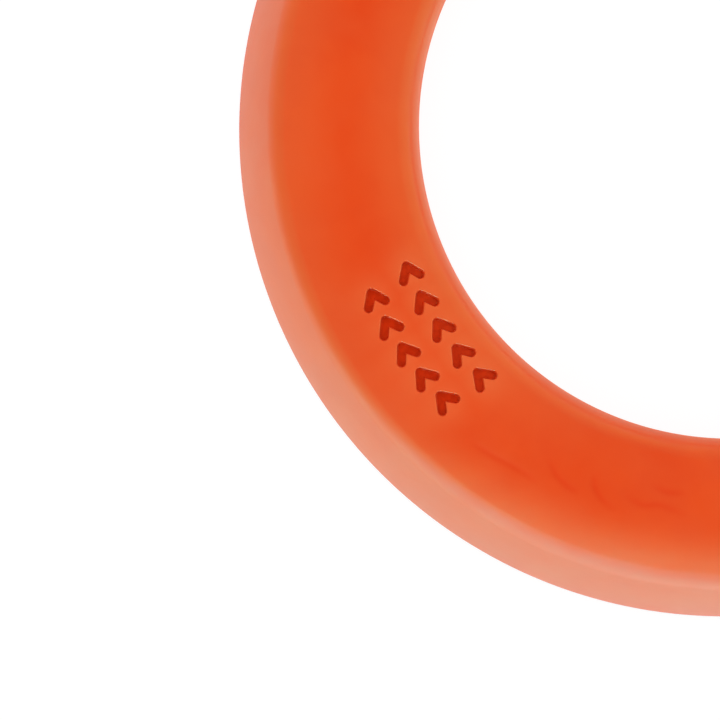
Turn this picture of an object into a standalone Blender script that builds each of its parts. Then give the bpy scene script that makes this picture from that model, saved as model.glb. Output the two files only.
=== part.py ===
"""Flying ring: a soft throwing ring with a flat underside and a crowned top.

A hollow silicone skin in two mouldings (top_shell and base_shell) snaps together around a
closed-cell foam core and a stiff nylon hoop. Two silicone cords lie in the circular seams
underneath.

Frame: +Z up along the ring's axis, origin on the axis in the plane of the flat underside.
Sections are lists of (r, z) points in millimetres.
"""

import math
from collections import namedtuple

import bmesh
import bpy
from mathutils import Matrix, Vector

# ---------------------------------------------------------------- dimensions, in millimetres
MM = 0.001
STEPS = 56  # segments round the ring
SMOOTH_DEG = 28.0  # edges sharper than this stay sharp

# Outer surface of the skin
OUTER_R = 90.0  # widest radius, at the foot of the outer flank
INNER_R = 56.85  # narrowest radius, on the rolled inner edge
FLANK_LOW_DEG = 66.0  # slope of the slightly rounded outer flank at its foot
FLANK_HIGH_DEG = 58.0  # and at its top
FLANK_PLAN = 5.3  # width of the flank seen from above
CROWN_DEG = 12.0  # tilt of the crowned top where it meets each edge
SHOULDER_R = 5.5  # round between flank and crown
INNER_ROLL_R = 5.3  # round of the inner edge
FOOT_R = 1.8  # round at the foot of the flank, and of the inner wall
INNER_DRAFT_DEG = 12.0  # the inner wall leans outward going down, for the fingertips
RIM_Z = 0.2  # the shell's rims stop this far above the resting plane

# Fit between the pieces
SEAT_OUT_R = 85.0  # faces of the shell that the base's ribs plug into
SEAT_IN_R = 61.9
GAP = 0.3  # clearance between neighbouring pieces
SEAM_V = 1.3  # chamfers that make the seam's V groove
SEAL_Z = (0.25, 0.95)  # bottom and top of the cord in it

# Base plate, its spigot ribs and their snap beads
BASE_T = 2.8
BASE_IN_R, BASE_OUT_R = SEAT_IN_R + GAP, SEAT_OUT_R - GAP
RIB_T = 1.6
RIB_TOP = 6.2
RIB_TIP = 0.4  # chamfer on the rib's top edge
RIB_FOOT = 0.5  # chamfer where the rib meets the plate
BEAD = 0.5  # how far the bead stands proud of its rib
BEAD_Z = 4.5
BEAD_H = 1.6
BEAD_FLAT = 0.45  # flat crest of the bead, as a share of its height

# Hollow of the shell
WALL = 3.0  # skin thickness over the crown and the flank
LEDGE_Z = RIB_TOP + GAP
# Bevels where a roof meets its walls: width of each, drop of the inner one, drop of the outer one
SHELL_BEVELS = (1.0, 1.0, 1.6)
FOAM_BEVELS = (1.2, 1.3, 1.9)
ROOF_SEARCH_DEG = 0.05  # step of the search for the roof's outer end

# Foam core
FOAM_EXTRA = 0.2  # clearance added to GAP beside the ribs and above the plate
FOAM_LEDGE_Z = LEDGE_Z + 0.1
FOAM_CORNER_RISE, FOAM_CORNER_IN = 0.2, 0.1  # set the outer ledge corner in from the slope

# Nylon hoop: flat web and upright rib
HOOP_IN_R, HOOP_OUT_R = 67.5, 80.5
HOOP_Z0, HOOP_Z1 = BASE_T + GAP, 6.1
HOOP_RIB_IN_R, HOOP_RIB_OUT_R, HOOP_RIB_Z = 73.4, 75.8, 9.4
HOOP_EDGE = 0.4  # chamfer on its edges and in its corners
CUT_MARGIN = 1.0  # the hoop's cutters reach this far past its web

# Pegs on the base, and lightening slots midway between them
PEGS = 8
PEG_DEG = 10.1  # the first peg
PEG_PITCH_R, PEG_R, PEG_TOP = 70.5, 1.5, 5.7
PEG_ROOT = 1.2  # depth the pegs reach into the plate
PEG_SIDES = 12
SLOT_PITCH_R = (HOOP_RIB_OUT_R + HOOP_OUT_R) / 2
SLOT_R, SLOT_DEG = 1.1, 23.0

# Direction chevrons recessed in the crown: two rows of five
MARK_MID_DEG = 214.7
MARK_DEPTH = 1.0
MARK_CUT_TOP = 2.0  # height of the cutters above the crown
MARK_STROKE = 1.7
MARK_HALF_H = 1.65  # centre line of one arm: half height across the row
MARK_HALF_L = 1.15  # and half length along it
MARK_ROWS = ((72.3, 4.44), (64.5, 5.15))  # (radius, pitch in degrees)
MARK_COUNT = 5


# ---------------------------------------------------------------- rounds of the outer surface
Round = namedtuple("Round", "r z radius")


def on_round(rnd, deg):
    """Point of a round whose normal is deg from straight up, towards +r."""
    angle = math.radians(deg)
    return rnd.r + rnd.radius * math.sin(angle), rnd.z + rnd.radius * math.cos(angle)


def arc(rnd, from_deg, to_deg, steps):
    """Points on a round whose normal turns from from_deg to to_deg."""
    return [on_round(rnd, from_deg + (to_deg - from_deg) * i / steps) for i in range(steps + 1)]


def tangent_round(rnd, radius, deg):
    """Round of another radius that continues rnd from its point at deg."""
    return Round(*on_round(rnd._replace(radius=rnd.radius - radius), deg), radius)


def crown_rounds():
    """Rounds of the crowned top, which is level from edge to edge, and of the rolled inner edge."""
    sin_tilt = math.sin(math.radians(CROWN_DEG))
    cos_tilt = math.cos(math.radians(CROWN_DEG))
    outer_r, edge_z = on_round(SHOULDER, CROWN_DEG)
    roll = Round(INNER_R + INNER_ROLL_R, edge_z - INNER_ROLL_R * cos_tilt, INNER_ROLL_R)
    inner_r = roll.r - INNER_ROLL_R * sin_tilt
    radius = (outer_r - inner_r) / 2 / sin_tilt
    return Round((outer_r + inner_r) / 2, edge_z - radius * cos_tilt, radius), roll


FLANK_R = FLANK_PLAN / (
    math.sin(math.radians(FLANK_LOW_DEG)) - math.sin(math.radians(FLANK_HIGH_DEG))
)
FOOT = Round(OUTER_R - FOOT_R, RIM_Z + FOOT_R, FOOT_R)
FLANK = tangent_round(FOOT, FLANK_R, FLANK_LOW_DEG)
SHOULDER = tangent_round(FLANK, SHOULDER_R, FLANK_HIGH_DEG)
CROWN, ROLL = crown_rounds()


def inside_flank(z, inset):
    """Radius, at height z, of the straight slope that runs inset inside the flank's chord."""
    slope = math.radians((FLANK_LOW_DEG + FLANK_HIGH_DEG) / 2)
    top_r, top_z = on_round(FLANK, FLANK_HIGH_DEG)
    start_r = top_r - inset * math.sin(slope)
    start_z = top_z - inset * math.cos(slope)
    return start_r + (start_z - z) / math.tan(slope)


# ---------------------------------------------------------------- sections
def skin_outside():
    """The shell's outer surface, from the outer rim over the crown to the inner rim."""
    wall_deg = -(90 + INNER_DRAFT_DEG)
    points = arc(FOOT, 180, FLANK_LOW_DEG, steps=4)
    points += arc(FLANK, FLANK_LOW_DEG, FLANK_HIGH_DEG, steps=3)[1:]
    points += arc(SHOULDER, FLANK_HIGH_DEG, CROWN_DEG, steps=4)[1:]
    points += arc(CROWN, CROWN_DEG, -CROWN_DEG, steps=6)[1:]
    points += arc(ROLL, -CROWN_DEG, wall_deg, steps=6)[1:]

    # The drafted wall runs straight down to the inner wall's foot.
    wall_r, wall_z = points[-1]
    draft = math.radians(INNER_DRAFT_DEG)
    foot_z = RIM_Z + FOOT_R
    wall_end_z = foot_z - FOOT_R * math.sin(draft)
    wall_end_r = wall_r + (wall_z - wall_end_z) * math.tan(draft)
    inner_foot = Round(wall_end_r + FOOT_R * math.cos(draft), foot_z, FOOT_R)
    return points + arc(inner_foot, wall_deg, -180, steps=2)


def roof_end_deg(roof, inset, setback):
    """Angle at which the roof comes within setback of the slope inside the flank."""
    deg = 0.0
    r, z = on_round(roof, deg)
    while r < inside_flank(z, inset) - setback:
        deg += ROOF_SEARCH_DEG
        r, z = on_round(roof, deg)
    return deg


def roof_line(inset, wall_r, bevels):
    """Roof that runs inset below the crown, with its bevels, from the wall at wall_r outward."""
    width, inner_drop, outer_drop = bevels
    roof = CROWN._replace(radius=CROWN.radius - inset)
    start_deg = math.degrees(math.asin((wall_r + width - roof.r) / roof.radius))
    points = arc(roof, start_deg, roof_end_deg(roof, inset, width), steps=4)
    end_z = points[-1][1] - outer_drop
    return [
        (wall_r, points[0][1] - inner_drop),
        *points,
        (inside_flank(end_z, inset), end_z),
    ]


def bead(r, side, half_h):
    """Snap bead or its groove at radius r, bottom to top. side +1 bulges outward, -1 inward."""
    crest_r = r + side * BEAD
    return [
        (r, BEAD_Z - half_h),
        (crest_r, BEAD_Z - half_h * BEAD_FLAT),
        (crest_r, BEAD_Z + half_h * BEAD_FLAT),
        (r, BEAD_Z + half_h),
    ]


def skin_inside():
    """The shell's hollow, from the inner rim back to the outer rim."""
    groove_half = BEAD_H / 2 + GAP
    return [
        (SEAT_IN_R - SEAM_V, RIM_Z),
        (SEAT_IN_R, RIM_Z + SEAM_V),
        *bead(SEAT_IN_R, -1, groove_half),
        *roof_line(WALL, SEAT_IN_R, SHELL_BEVELS),
        (inside_flank(LEDGE_Z, WALL), LEDGE_Z),
        (SEAT_OUT_R, LEDGE_Z),
        *reversed(bead(SEAT_OUT_R, 1, groove_half)),
        (SEAT_OUT_R, RIM_Z + SEAM_V),
        (SEAT_OUT_R + SEAM_V, RIM_Z),
    ]


def base_section():
    """Base plate with its two spigot ribs, anticlockwise from the bottom inner corner."""
    return [
        (BASE_IN_R + SEAM_V, 0.0),
        (BASE_OUT_R - SEAM_V, 0.0),
        (BASE_OUT_R, SEAM_V),
        *bead(BASE_OUT_R, 1, BEAD_H / 2),
        (BASE_OUT_R, RIB_TOP - RIB_TIP),
        (BASE_OUT_R - RIB_TIP, RIB_TOP),
        (BASE_OUT_R - RIB_T, RIB_TOP),
        (BASE_OUT_R - RIB_T, BASE_T + RIB_FOOT),
        (BASE_OUT_R - RIB_T - RIB_FOOT, BASE_T),
        (BASE_IN_R + RIB_T + RIB_FOOT, BASE_T),
        (BASE_IN_R + RIB_T, BASE_T + RIB_FOOT),
        (BASE_IN_R + RIB_T, RIB_TOP),
        (BASE_IN_R + RIB_TIP, RIB_TOP),
        (BASE_IN_R, RIB_TOP - RIB_TIP),
        *reversed(bead(BASE_IN_R, -1, BEAD_H / 2)),
        (BASE_IN_R, SEAM_V),
    ]


def hoop_section():
    """Flat web with an upright rib, anticlockwise from the bottom inner corner."""
    return [
        (HOOP_IN_R + HOOP_EDGE, HOOP_Z0),
        (HOOP_OUT_R - HOOP_EDGE, HOOP_Z0),
        (HOOP_OUT_R, HOOP_Z0 + HOOP_EDGE),
        (HOOP_OUT_R, HOOP_Z1 - HOOP_EDGE),
        (HOOP_OUT_R - HOOP_EDGE, HOOP_Z1),
        (HOOP_RIB_OUT_R + HOOP_EDGE, HOOP_Z1),
        (HOOP_RIB_OUT_R, HOOP_Z1 + HOOP_EDGE),
        (HOOP_RIB_OUT_R, HOOP_RIB_Z - HOOP_EDGE),
        (HOOP_RIB_OUT_R - HOOP_EDGE, HOOP_RIB_Z),
        (HOOP_RIB_IN_R + HOOP_EDGE, HOOP_RIB_Z),
        (HOOP_RIB_IN_R, HOOP_RIB_Z - HOOP_EDGE),
        (HOOP_RIB_IN_R, HOOP_Z1 + HOOP_EDGE),
        (HOOP_RIB_IN_R - HOOP_EDGE, HOOP_Z1),
        (HOOP_IN_R + HOOP_EDGE, HOOP_Z1),
        (HOOP_IN_R, HOOP_Z1 - HOOP_EDGE),
        (HOOP_IN_R, HOOP_Z0 + HOOP_EDGE),
    ]


def foam_section():
    """Foam that fills the hollow above the base, with a channel underneath for the hoop."""
    inset = WALL + GAP
    low_in_r = BASE_IN_R + RIB_T + GAP + FOAM_EXTRA
    low_out_r = BASE_OUT_R - RIB_T - GAP - FOAM_EXTRA
    bottom = BASE_T + GAP + FOAM_EXTRA
    corner_r = inside_flank(FOAM_LEDGE_Z + FOAM_CORNER_RISE, inset) - FOAM_CORNER_IN
    return [
        (low_in_r, bottom),
        (HOOP_IN_R - GAP, bottom),
        (HOOP_IN_R - GAP, HOOP_Z1 + GAP),
        (HOOP_RIB_IN_R - GAP, HOOP_Z1 + GAP),
        (HOOP_RIB_IN_R - GAP, HOOP_RIB_Z + GAP),
        (HOOP_RIB_OUT_R + GAP, HOOP_RIB_Z + GAP),
        (HOOP_RIB_OUT_R + GAP, HOOP_Z1 + GAP),
        (HOOP_OUT_R + GAP, HOOP_Z1 + GAP),
        (HOOP_OUT_R + GAP, bottom),
        (low_out_r, bottom),
        (low_out_r, FOAM_LEDGE_Z),
        (corner_r, FOAM_LEDGE_Z),
        *reversed(roof_line(inset, SEAT_IN_R + GAP, FOAM_BEVELS)),
        (SEAT_IN_R + GAP, FOAM_LEDGE_Z),
        (low_in_r, FOAM_LEDGE_Z),
    ]


def seal_section(seat_r, side):
    """Cord in the V groove of a seam, GAP clear of both its faces. side +1 is the outer seam."""
    mid_r = seat_r - side * (GAP - RIM_Z) / 2
    low, high = SEAL_Z
    # Half the width that the groove leaves at the resting plane; it narrows 1:1 going up
    half = SEAM_V + (GAP + RIM_Z) / 2 - GAP * math.sqrt(2)
    return [
        (mid_r - (half - low), low),
        (mid_r + (half - low), low),
        (mid_r + (half - high), high),
        (mid_r - (half - high), high),
    ]


# ---------------------------------------------------------------- outlines of pegs and cutters
def fan(centre, radius, start, sweep, steps):
    """Points (x, y) on an arc that begins at the angle start and turns through sweep."""
    angles = [start + sweep * i / steps for i in range(steps + 1)]
    return [(centre[0] + radius * math.cos(a), centre[1] + radius * math.sin(a)) for a in angles]


def polar(radius, angle):
    return radius * math.cos(angle), radius * math.sin(angle)


def peg_turn(i):
    """Angle of peg i, in radians."""
    return math.radians(PEG_DEG) + 2 * math.pi * i / PEGS


def peg_circles(radius):
    """One circle at each peg."""
    return [
        fan(polar(PEG_PITCH_R, peg_turn(i)), radius, 0.0, 2 * math.pi, PEG_SIDES)[:-1]
        for i in range(PEGS)
    ]


def slot(mid):
    """Curved slot with round ends, centred on the angle mid, in radians."""
    half = math.radians(SLOT_DEG / 2)
    start, end = mid - half, mid + half
    return [
        *fan((0, 0), SLOT_PITCH_R + SLOT_R, start, 2 * half, steps=6),
        *fan(polar(SLOT_PITCH_R, end), SLOT_R, end, math.pi, steps=4)[1:-1],
        *fan((0, 0), SLOT_PITCH_R - SLOT_R, end, -2 * half, steps=6),
        *fan(polar(SLOT_PITCH_R, start), SLOT_R, start + math.pi, math.pi, steps=4)[1:-1],
    ]


def chevron():
    """Chevron that points along +X, with round ends and a round tip."""
    half_w = MARK_STROKE / 2
    slant = math.atan2(MARK_HALF_H, 2 * MARK_HALF_L)  # of the arms, from the pointing direction
    normal = math.pi / 2 - slant  # direction of the upper arm's outer normal
    return [
        *fan((MARK_HALF_L, 0.0), half_w, -normal, 2 * normal, steps=4),
        *fan((-MARK_HALF_L, MARK_HALF_H), half_w, normal, math.pi, steps=4),
        (MARK_HALF_L - half_w / math.sin(slant), 0.0),  # inside corner
        *fan((-MARK_HALF_L, -MARK_HALF_H), half_w, math.pi / 2 + slant, math.pi, steps=4),
    ]


def chevron_place(radius, turn):
    """Matrix that sets a chevron square to the crown, pointing clockwise seen from above."""
    lean = math.asin((radius - CROWN.r) / CROWN.radius)
    crown_z = CROWN.z + math.sqrt(CROWN.radius**2 - (radius - CROWN.r) ** 2)
    up = Vector((0, 0, 1))
    out = Vector((math.cos(turn), math.sin(turn), 0))
    along = Vector((math.sin(turn), -math.cos(turn), 0))
    normal = (out * math.sin(lean) + up * math.cos(lean)).normalized()
    matrix = Matrix((along, normal.cross(along), normal)).transposed().to_4x4()
    matrix.translation = (out * radius + up * crown_z) * MM
    return matrix


def chevron_places():
    return [
        chevron_place(radius, math.radians(MARK_MID_DEG + (i - (MARK_COUNT - 1) / 2) * pitch))
        for radius, pitch in MARK_ROWS
        for i in range(MARK_COUNT)
    ]


# ---------------------------------------------------------------- builders
def clear_scene():
    for obj in list(bpy.data.objects):
        bpy.data.objects.remove(obj, do_unlink=True)


def material(name, colour, roughness):
    mat = bpy.data.materials.new(name)
    mat.use_nodes = True
    shader = mat.node_tree.nodes["Principled BSDF"]
    shader.inputs["Base Color"].default_value = (*colour, 1.0)
    shader.inputs["Roughness"].default_value = roughness
    shader.inputs["Metallic"].default_value = 0.0
    mat.diffuse_color = (*colour, 1.0)
    return mat


def add_object(name, bm):
    bmesh.ops.recalc_face_normals(bm, faces=bm.faces[:])
    mesh = bpy.data.meshes.new(name)
    bm.to_mesh(mesh)
    bm.free()
    obj = bpy.data.objects.new(name, mesh)
    bpy.context.scene.collection.objects.link(obj)
    mesh.shade_smooth()
    mesh.set_sharp_from_angle(angle=math.radians(SMOOTH_DEG))
    return obj


def turned(name, section, mat):
    """A closed ring made by spinning a section round the axis."""
    bm = bmesh.new()
    verts = [bm.verts.new((r * MM, 0.0, z * MM)) for r, z in section]
    edges = [bm.edges.new((vert, verts[(i + 1) % len(verts)])) for i, vert in enumerate(verts)]
    bmesh.ops.spin(
        bm,
        geom=verts + edges,
        cent=(0, 0, 0),
        axis=(0, 0, 1),
        dvec=(0, 0, 0),
        angle=2 * math.pi,
        steps=STEPS,
        use_merge=True,
        use_duplicate=False,
    )
    bmesh.ops.remove_doubles(bm, verts=bm.verts[:], dist=1e-6)
    obj = add_object(name, bm)
    obj.data.materials.append(mat)
    return obj


def helper_prisms(name, loops, bottom, top, places=None):
    """A hidden helper of prisms on flat outlines in millimetres, each moved by its own matrix."""
    bm = bmesh.new()
    for matrix, loop in zip(places or [Matrix.Identity(4)] * len(loops), loops):
        low = [bm.verts.new(matrix @ Vector((x * MM, y * MM, bottom * MM))) for x, y in loop]
        made = bmesh.ops.extrude_face_region(bm, geom=[bm.faces.new(low)])
        high = [v for v in made["geom"] if isinstance(v, bmesh.types.BMVert)]
        rise = matrix.to_3x3() @ Vector((0, 0, (top - bottom) * MM))
        bmesh.ops.translate(bm, verts=high, vec=rise)
    obj = add_object(name, bm)
    obj.hide_render = True
    obj.display_type = "WIRE"
    return obj


def boolean(obj, other, operation):
    mod = obj.modifiers.new(f"{operation.lower()}_{other.name}", "BOOLEAN")
    mod.operation = operation
    mod.object = other
    mod.solver = "EXACT"


# ---------------------------------------------------------------- pieces
def build_top_shell(mat):
    """Upper skin, with the chevrons cut into its crown."""
    shell = turned("top_shell", skin_outside() + skin_inside(), mat)
    places = chevron_places()
    marks = helper_prisms(
        "chevron_cutters", [chevron()] * len(places), -MARK_DEPTH, MARK_CUT_TOP, places
    )
    boolean(shell, marks, "DIFFERENCE")
    return shell


def build_base_shell(mat):
    """Lower skin, with the pegs that key the hoop."""
    shell = turned("base_shell", base_section(), mat)
    pegs = helper_prisms("peg_solids", peg_circles(PEG_R), BASE_T - PEG_ROOT, PEG_TOP)
    boolean(shell, pegs, "UNION")
    return shell


def build_hoop(mat):
    """Stiff hoop, with its peg holes and lightening slots."""
    hoop = turned("spine_hoop", hoop_section(), mat)
    slots = [slot(peg_turn(i + 0.5)) for i in range(PEGS)]
    for name, loops in (
        ("peg_hole_cutters", peg_circles(PEG_R + GAP)),
        ("slot_cutters", slots),
    ):
        cutters = helper_prisms(name, loops, HOOP_Z0 - CUT_MARGIN, HOOP_Z1 + CUT_MARGIN)
        boolean(hoop, cutters, "DIFFERENCE")
    return hoop


def build_ring():
    """All pieces, hung from one empty at the ring's centre."""
    skin = material("silicone_orange", colour=(0.80, 0.085, 0.018), roughness=0.42)
    nylon = material("nylon_natural", colour=(0.62, 0.60, 0.52), roughness=0.5)
    foam = material("foam_charcoal", colour=(0.09, 0.09, 0.10), roughness=0.9)
    cord = material("silicone_seal", colour=(0.70, 0.075, 0.016), roughness=0.35)
    pieces = [
        build_top_shell(skin),
        build_base_shell(skin),
        build_hoop(nylon),
        turned("foam_core", foam_section(), foam),
        turned("outer_seam_seal", seal_section(SEAT_OUT_R, side=1), cord),
        turned("inner_seam_seal", seal_section(SEAT_IN_R, side=-1), cord),
    ]
    centre = bpy.data.objects.new("flying_ring", None)
    bpy.context.scene.collection.objects.link(centre)
    for piece in pieces:
        piece.parent = centre


clear_scene()
build_ring()
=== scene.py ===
"""The looks of a flying ring: a silicone skin with recessed chevrons, its base, two seam cords, a
nylon hoop and a foam core.

The ring lies flat on z = 0, centred on the Z axis, crown up. Sections are lists of (r, z) points
in millimetres, and the meshes are in metres. Angles in plan run counter-clockwise from +X.
"""

import math

import bmesh
import bpy
import numpy as np
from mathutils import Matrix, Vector


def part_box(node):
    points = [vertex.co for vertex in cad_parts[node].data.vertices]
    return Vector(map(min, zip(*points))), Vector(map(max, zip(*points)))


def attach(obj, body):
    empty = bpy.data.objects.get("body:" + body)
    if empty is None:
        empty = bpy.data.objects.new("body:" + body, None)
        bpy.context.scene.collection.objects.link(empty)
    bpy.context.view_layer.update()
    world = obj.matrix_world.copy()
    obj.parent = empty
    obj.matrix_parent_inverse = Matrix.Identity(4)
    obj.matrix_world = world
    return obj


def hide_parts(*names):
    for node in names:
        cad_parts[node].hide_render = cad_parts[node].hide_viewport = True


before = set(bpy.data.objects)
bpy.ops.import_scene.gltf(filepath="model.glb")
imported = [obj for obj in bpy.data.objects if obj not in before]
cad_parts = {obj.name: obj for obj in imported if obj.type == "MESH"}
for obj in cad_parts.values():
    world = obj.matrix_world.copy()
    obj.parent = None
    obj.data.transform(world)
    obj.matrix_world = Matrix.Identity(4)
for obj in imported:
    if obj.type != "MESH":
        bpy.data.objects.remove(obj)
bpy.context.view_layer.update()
MM = 0.001

# ---------------------------------------------------------------- sizes, in millimetres and degrees
# Outer surface of the skin. Slopes are the direction of the normal, measured from straight up.
OUTER_R = round(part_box("top_shell")[1].x / MM, 1)
INNER_R = 56.85
FLANK_LOW_DEG, FLANK_HIGH_DEG = 66.0, 58.0
FLANK_DEG = (FLANK_LOW_DEG + FLANK_HIGH_DEG) / 2
FLANK_PLAN = 5.3  # width of the flank in plan
CROWN_DEG = 12.0  # slope at both ends of the crown
SHOULDER_R = 5.5
INNER_ROLL_R = 5.3
FOOT_R = 1.8
INNER_DRAFT_DEG = 12.0
RIM_Z = 0.2  # underside of the skin
FOOT_Z = RIM_Z + FOOT_R

# Hollow of the skin, and the base that sits in it
WALL = 3.0
SEAT_OUT_R = 85.0
SEAT_IN_R = 61.9
GAP = 0.3
BASE_T = 2.8
RIB_T = 1.6
RIB_TOP = 6.2
LEDGE_Z = 6.5
BEAD = 0.5  # how far the bead stands out of the base's rims
BEAD_Z = 4.5
BEAD_H = 1.6
SEAM_V = 1.3  # chamfer on each side of a seam
SEAL_Z = (0.25, 0.95)  # bottom and top of the cords

# Hoop, with the base's pegs standing in its round holes, and curved slots between them
HOOP_IN_R, HOOP_OUT_R = 67.5, 80.5
HOOP_Z0, HOOP_Z1 = 3.1, 6.1
HOOP_RIB_IN_R, HOOP_RIB_OUT_R, HOOP_RIB_Z = 73.4, 75.8, 9.4
HOLE_LIP_R = 0.18
PEGS = 8
PEG_DEG = 10.1  # direction of the first peg
PEG_PITCH_R, PEG_R, PEG_TOP = 70.5, 1.5, 5.7
PEG_FILLET_R, PEG_ROUND_R = 0.3, 0.35
SLOT_PITCH_R, SLOT_R, SLOT_DEG = 78.15, 1.1, 23.0

# Chevrons, recessed in the crown in two rows and pointing clockwise as seen from above
CHEVRON_MID_DEG = 214.7
CHEVRON_DEPTH = 1.0
CHEVRON_STROKE = 1.7
CHEVRON_HALF_W, CHEVRON_HALF_L = 1.65, 1.15  # across and along the way it points
CHEVRON_ROWS = ((72.3, 4.44), (64.5, 5.15))  # radius of the row, degrees between its chevrons
CHEVRON_COUNT = 5
CHEVRON_CELL = 0.095  # size of the mesh cells round the chevrons
# The recess's wall starts this far outside its outline, and meets the floor this far inside.
RECESS_OUT, RECESS_IN = 0.07, 0.20


def rad(degrees):
    return math.radians(degrees)


def polar(centre, radius, degrees):
    """The point at a distance from the centre, its direction turned from straight up to +r."""
    return centre[0] + radius * math.sin(rad(degrees)), centre[1] + radius * math.cos(rad(degrees))


def arc(centre, radius, start, end, steps):
    return [polar(centre, radius, d) for d in np.linspace(start, end, steps + 1)]


# Centres of the rounds that make the outer surface, worked up from the foot of the flank
FOOT_CENTRE = (OUTER_R - FOOT_R, FOOT_Z)
FLANK_R = FLANK_PLAN / (math.sin(rad(FLANK_LOW_DEG)) - math.sin(rad(FLANK_HIGH_DEG)))
FLANK_CENTRE = polar(FOOT_CENTRE, FOOT_R - FLANK_R, FLANK_LOW_DEG)
SHOULDER_CENTRE = polar(FLANK_CENTRE, FLANK_R - SHOULDER_R, FLANK_HIGH_DEG)
CROWN_OUT = polar(SHOULDER_CENTRE, SHOULDER_R, CROWN_DEG)
ROLL_CENTRE = (INNER_R + INNER_ROLL_R, CROWN_OUT[1] - INNER_ROLL_R * math.cos(rad(CROWN_DEG)))
CROWN_IN = (ROLL_CENTRE[0] - INNER_ROLL_R * math.sin(rad(CROWN_DEG)), CROWN_OUT[1])
CROWN_R = (CROWN_OUT[0] - CROWN_IN[0]) / 2 / math.sin(rad(CROWN_DEG))
CROWN_CENTRE = (
    (CROWN_OUT[0] + CROWN_IN[0]) / 2,
    CROWN_OUT[1] - CROWN_R * math.cos(rad(CROWN_DEG)),
)


# ---------------------------------------------------------------- sections
def line(start, end, count):
    """count points from start towards end, without end."""
    dr, dz = end[0] - start[0], end[1] - start[1]
    return [(start[0] + dr * i / count, start[1] + dz * i / count) for i in range(count)]


def spread(span, cells):
    return list(np.linspace(span[0], span[1], cells + 1))


def bead(r, side, half_height):
    """A bead on the wall at r, from the bottom up. side is 1 to stand out to +r, -1 to -r."""
    return [
        (r, BEAD_Z - half_height),
        (r + side * BEAD, BEAD_Z - half_height * 0.45),
        (r + side * BEAD, BEAD_Z + half_height * 0.45),
        (r, BEAD_Z + half_height),
    ]


def slope_r(z, inset):
    """Radius, at height z, of the straight slope that runs inset inside the flank's chord."""
    flank_top = polar(FLANK_CENTRE, FLANK_R, FLANK_HIGH_DEG)
    r0, z0 = polar(flank_top, -inset, FLANK_DEG)
    return r0 + (z0 - z) / math.tan(rad(FLANK_DEG))


def roof_arc(inset, start_r, back, steps):
    """The underside of the crown, from start_r out to back short of the slope in the flank."""
    radius = CROWN_R - inset
    start = math.degrees(math.asin((start_r - CROWN_CENTRE[0]) / radius))
    end = 0.0
    r, z = polar(CROWN_CENTRE, radius, end)
    while r < slope_r(z, inset) - back:
        end += 0.05
        r, z = polar(CROWN_CENTRE, radius, end)
    return arc(CROWN_CENTRE, radius, start, end, steps)


def rounded(points, radius, steps, support):
    """A closed outline with its corners rounded. radius is one number, or one for each corner.

    An extra point on the straight runs, support away from each round, keeps the smooth shading
    to the round.
    """
    points = [np.array(p, float) for p in points]
    radii = radius if isinstance(radius, list) else [radius] * len(points)
    out = []
    for i, corner in enumerate(points):
        before = points[i - 1] - corner
        after = points[(i + 1) % len(points)] - corner
        length_before, length_after = np.linalg.norm(before), np.linalg.norm(after)
        to_before, to_after = before / length_before, after / length_after
        opening = math.acos(max(-1.0, min(1.0, float(to_before @ to_after))))
        if opening > rad(176) or radii[i] <= 0:
            out.append(tuple(corner))
            continue
        reach = min(radii[i] / math.tan(opening / 2), 0.42 * length_before, 0.42 * length_after)
        r = reach * math.tan(opening / 2)
        axis = (to_before + to_after) / np.linalg.norm(to_before + to_after)
        centre = corner + axis * r / math.sin(opening / 2)
        first = corner + to_before * reach - centre
        last = corner + to_after * reach - centre
        turn = 1.0 if first[0] * last[1] - first[1] * last[0] > 0 else -1.0
        if length_before * 0.5 - reach > support * 1.5:
            out.append(tuple(corner + to_before * (reach + support)))
        for k in range(steps + 1):
            angle = turn * (math.pi - opening) * k / steps
            c, s = math.cos(angle), math.sin(angle)
            spoke = np.array([c * first[0] - s * first[1], s * first[0] + c * first[1]])
            out.append(tuple(centre + spoke))
        if length_after * 0.5 - reach > support * 1.5:
            out.append(tuple(corner + to_after * (reach + support)))
    return out


def parting(points, at, depth, width=0.16):
    """Sinks the fine line of a mould's joint, centred on the section's point nearest to at."""
    points = np.array(points, float)
    runs = np.linalg.norm(np.diff(points, axis=0), axis=1)
    along = np.concatenate([[0], np.cumsum(runs)])
    here = along[np.argmin(np.linalg.norm(points - np.array(at), axis=1))]
    extra = here + np.linspace(-2.2 * width, 2.2 * width, 15)
    stops = np.unique(np.concatenate([along[np.abs(along - here) > 2.3 * width], extra]))
    new = np.stack([np.interp(stops, along, points[:, k]) for k in (0, 1)], 1)
    tangent = np.gradient(new, axis=0)
    tangent /= np.linalg.norm(tangent, axis=1, keepdims=True) + 1e-12
    # The material lies on the left of the section, so the tangent turned left points into it.
    inward = np.stack([-tangent[:, 1], tangent[:, 0]], 1)
    sunk = depth * np.exp(-(((stops - here) / (width * 0.6)) ** 2))
    return [tuple(p) for p in new + inward * sunk[:, None]]


# ---------------------------------------------------------------- mesh builders
def even(count):
    return np.arange(count) * 2 * math.pi / count


def grid_quads(i, j, columns, rows):
    """Corners of the cells at column i and row j of a grid that is closed both ways."""
    i2, j2 = (i + 1) % columns, (j + 1) % rows
    corners = [i * rows + j, i2 * rows + j, i2 * rows + j2, i * rows + j2]
    return np.stack(corners, -1).reshape(-1, 4)


def add_object(name, mesh):
    obj = bpy.data.objects.new(name, mesh)
    bpy.context.scene.collection.objects.link(obj)
    return obj


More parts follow.
